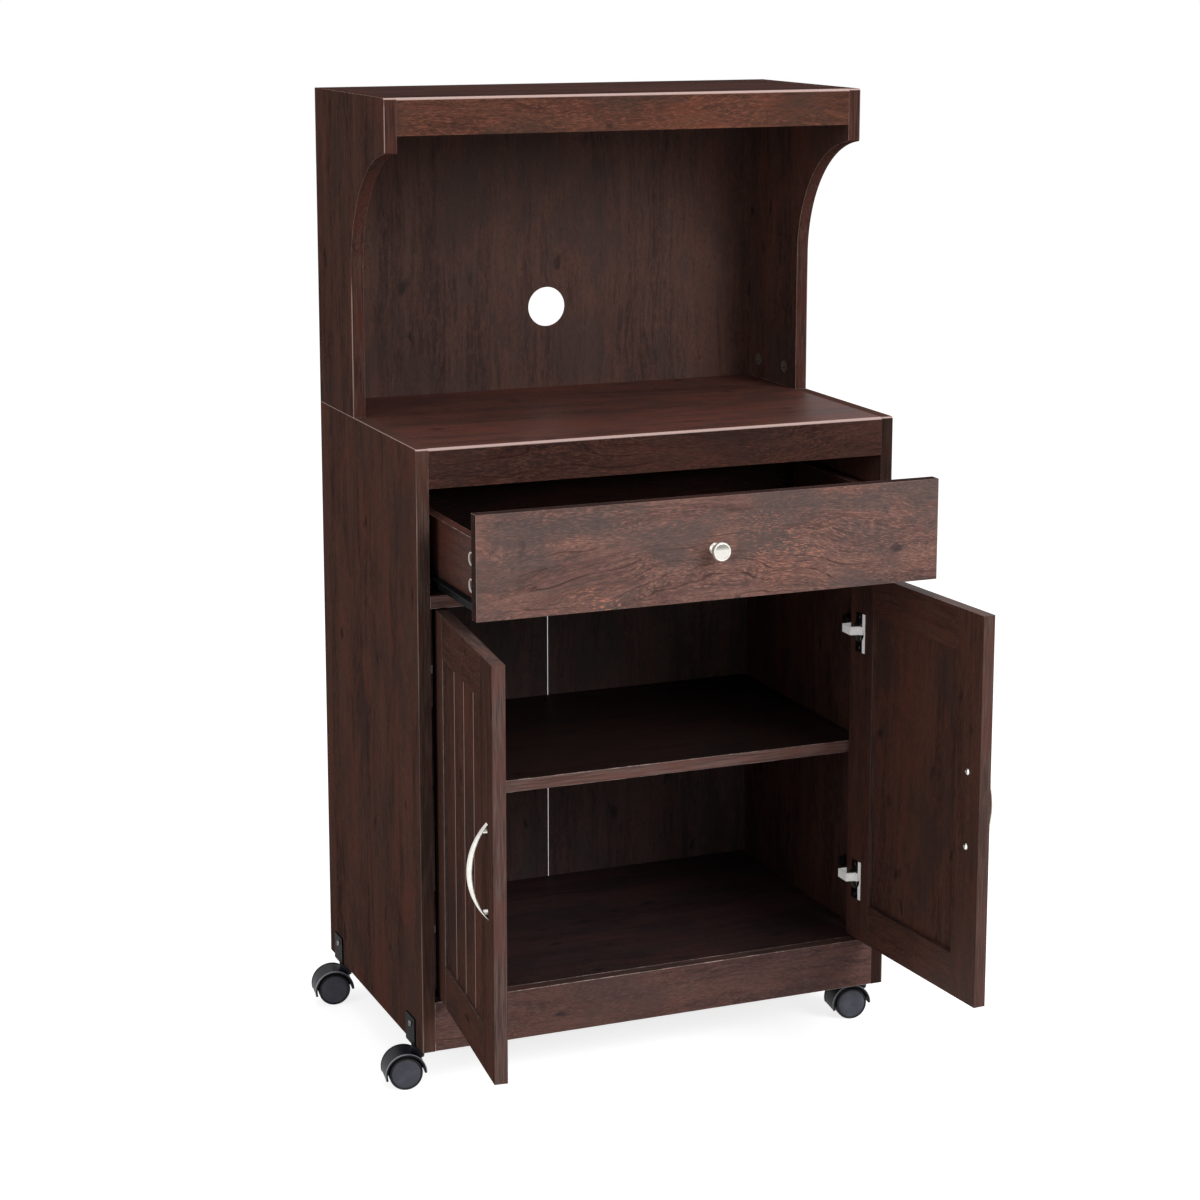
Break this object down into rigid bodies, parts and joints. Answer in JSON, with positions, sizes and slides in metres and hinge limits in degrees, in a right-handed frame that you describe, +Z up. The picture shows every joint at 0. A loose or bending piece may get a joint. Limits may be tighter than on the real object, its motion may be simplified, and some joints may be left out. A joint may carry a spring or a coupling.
{
  "type": "microwave cart",
  "caption": "Rolling microwave cart: open hutch over a deck, drawer on runners, framed cupboard doors on cup hinges, hooded casters.",
  "frame": {"origin": "on the floor under the middle of the part as stored, drawer pulled out and doors open; the cabinet's own middle plane lies at X = 9.3 mm", "axes": "+X to the right seen from the front, +Y from the front to the back, +Z up"},
  "size_m": [0.6544, 0.6297, 1.152],
  "materials": {
    "laminate": "dark brown woodgrain laminate, satin",
    "laminate_red": "reddish brown woodgrain laminate, satin",
    "thin_board": "printed hardboard, matt",
    "nickel": "satin nickel",
    "zinc": "zinc plated",
    "black_steel": "black enamel, satin",
    "hood_plastic": "moulded, satin",
    "wheel_plastic": "moulded, matt",
    "roller_plastic": "moulded nylon",
    "cover_plastic": "moulded, matt"
  },
  "bodies": {
    "cabinet": {"side_panel_left": "laminate", "side_panel_right": "laminate", "deck_panel": "laminate", "deck_apron": "laminate_red", "drawer_rail": "laminate_red", "shelf": "laminate", "bottom_panel": "laminate", "kick_board": "laminate_red", "base_back_left": "thin_board", "base_back_right": "thin_board", "hutch_side_left": "laminate", "hutch_side_right": "laminate", "hutch_top": "laminate", "hutch_valance": "laminate_red", "hutch_back": "laminate", "cam_locks": "zinc", "shelf_pins": "nickel", "cabinet_runner_left": "black_steel", "cabinet_runner_right": "black_steel", "hinge_arms_left": "nickel", "hinge_arms_right": "nickel", "caster_brackets": "black_steel"},
    "drawer": {"drawer_front": "laminate_red", "drawer_side_left": "laminate", "drawer_side_right": "laminate", "drawer_back": "laminate", "drawer_bottom": "thin_board", "drawer_cams": "cover_plastic", "drawer_knob": "nickel", "knob_screw": "zinc", "drawer_runner_left": "black_steel", "drawer_runner_right": "black_steel"},
    "door_left": {"door_stile_hinge_left": "laminate", "door_stile_free_left": "laminate", "door_rail_top_left": "laminate", "door_rail_bottom_left": "laminate", "door_panel_left": "laminate", "door_handle_left": "nickel", "handle_screws_left": "zinc", "hinge_cups_left": "nickel"},
    "cabinet_roller_left": {"cabinet_roller_left": "roller_plastic"},
    "drawer_roller_left": {"drawer_roller_left": "roller_plastic"},
    "door_right": {"door_stile_hinge_right": "laminate", "door_stile_free_right": "laminate", "door_rail_top_right": "laminate", "door_rail_bottom_right": "laminate", "door_panel_right": "laminate", "door_handle_right": "nickel", "handle_screws_right": "zinc", "hinge_cups_right": "nickel"},
    "cabinet_roller_right": {"cabinet_roller_right": "roller_plastic"},
    "drawer_roller_right": {"drawer_roller_right": "roller_plastic"},
    "swivel_front_left": {"caster_hood_front_left": "hood_plastic"},
    "wheels_front_left": {"caster_wheels_front_left": "wheel_plastic"},
    "swivel_front_right": {"caster_hood_front_right": "hood_plastic"},
    "wheels_front_right": {"caster_wheels_front_right": "wheel_plastic"},
    "swivel_back_left": {"caster_hood_back_left": "hood_plastic"},
    "wheels_back_left": {"caster_wheels_back_left": "wheel_plastic"},
    "swivel_back_right": {"caster_hood_back_right": "hood_plastic"},
    "wheels_back_right": {"caster_wheels_back_right": "wheel_plastic"}
  },
  "joints": [
    {"name": "drawer_slide", "type": "slide", "parent": "cabinet", "child": "drawer", "axis": [0, -1, 0], "range_m": [-0.147, 0.103]},
    {"name": "door_left_hinge", "type": "hinge", "parent": "cabinet", "child": "door_left", "pos_m": [-0.25818, -0.04973, 0.3495], "axis": [0, 0, -1], "range_deg": [-96, 9]},
    {"name": "door_right_hinge", "type": "hinge", "parent": "cabinet", "child": "door_right", "pos_m": [0.27682, -0.04973, 0.3495], "axis": [0, 0, 1], "range_deg": [-94.5, 10.5]},
    {"name": "cabinet_roller_left_spin", "type": "hinge", "parent": "cabinet", "child": "cabinet_roller_left", "pos_m": [-0.27098, -0.03423, 0.6123], "axis": [1, 0, 0], "continuous": true},
    {"name": "drawer_roller_left_spin", "type": "hinge", "parent": "drawer", "child": "drawer_roller_left", "pos_m": [-0.26788, 0.12677, 0.6123], "axis": [1, 0, 0], "continuous": true},
    {"name": "cabinet_roller_right_spin", "type": "hinge", "parent": "cabinet", "child": "cabinet_roller_right", "pos_m": [0.28962, -0.03423, 0.6123], "axis": [1, 0, 0], "continuous": true},
    {"name": "drawer_roller_right_spin", "type": "hinge", "parent": "drawer", "child": "drawer_roller_right", "pos_m": [0.28652, 0.12677, 0.6123], "axis": [1, 0, 0], "continuous": true},
    {"name": "swivel_front_left", "type": "hinge", "parent": "cabinet", "child": "swivel_front_left", "pos_m": [-0.28318, -0.01673, 0.053], "axis": [0, 0, 1], "continuous": true},
    {"name": "wheels_front_left", "type": "hinge", "parent": "swivel_front_left", "child": "wheels_front_left", "pos_m": [-0.30002, -0.01436, 0.02], "axis": [0.1392, 0.9903, 0], "continuous": true},
    {"name": "swivel_front_right", "type": "hinge", "parent": "cabinet", "child": "swivel_front_right", "pos_m": [0.30182, -0.01673, 0.053], "axis": [0, 0, 1], "continuous": true},
    {"name": "wheels_front_right", "type": "hinge", "parent": "swivel_front_right", "child": "wheels_front_right", "pos_m": [0.28498, -0.01436, 0.02], "axis": [0.1392, 0.9903, 0], "continuous": true},
    {"name": "swivel_back_left", "type": "hinge", "parent": "cabinet", "child": "swivel_back_left", "pos_m": [-0.28318, 0.27227, 0.053], "axis": [0, 0, 1], "continuous": true},
    {"name": "wheels_back_left", "type": "hinge", "parent": "swivel_back_left", "child": "wheels_back_left", "pos_m": [-0.30002, 0.27464, 0.02], "axis": [0.1392, 0.9903, 0], "continuous": true},
    {"name": "swivel_back_right", "type": "hinge", "parent": "cabinet", "child": "swivel_back_right", "pos_m": [0.30182, 0.27227, 0.053], "axis": [0, 0, 1], "continuous": true},
    {"name": "wheels_back_right", "type": "hinge", "parent": "swivel_back_right", "child": "wheels_back_right", "pos_m": [0.28498, 0.27464, 0.02], "axis": [0.1392, 0.9903, 0], "continuous": true}
  ],
  "couplings": [
    {"joint": "cabinet_roller_left_spin", "follows": "drawer_slide", "rad_per_m": 181.82},
    {"joint": "drawer_roller_left_spin", "follows": "drawer_slide", "rad_per_m": 181.82},
    {"joint": "cabinet_roller_right_spin", "follows": "drawer_slide", "rad_per_m": 181.82},
    {"joint": "drawer_roller_right_spin", "follows": "drawer_slide", "rad_per_m": 181.82}
  ]
}
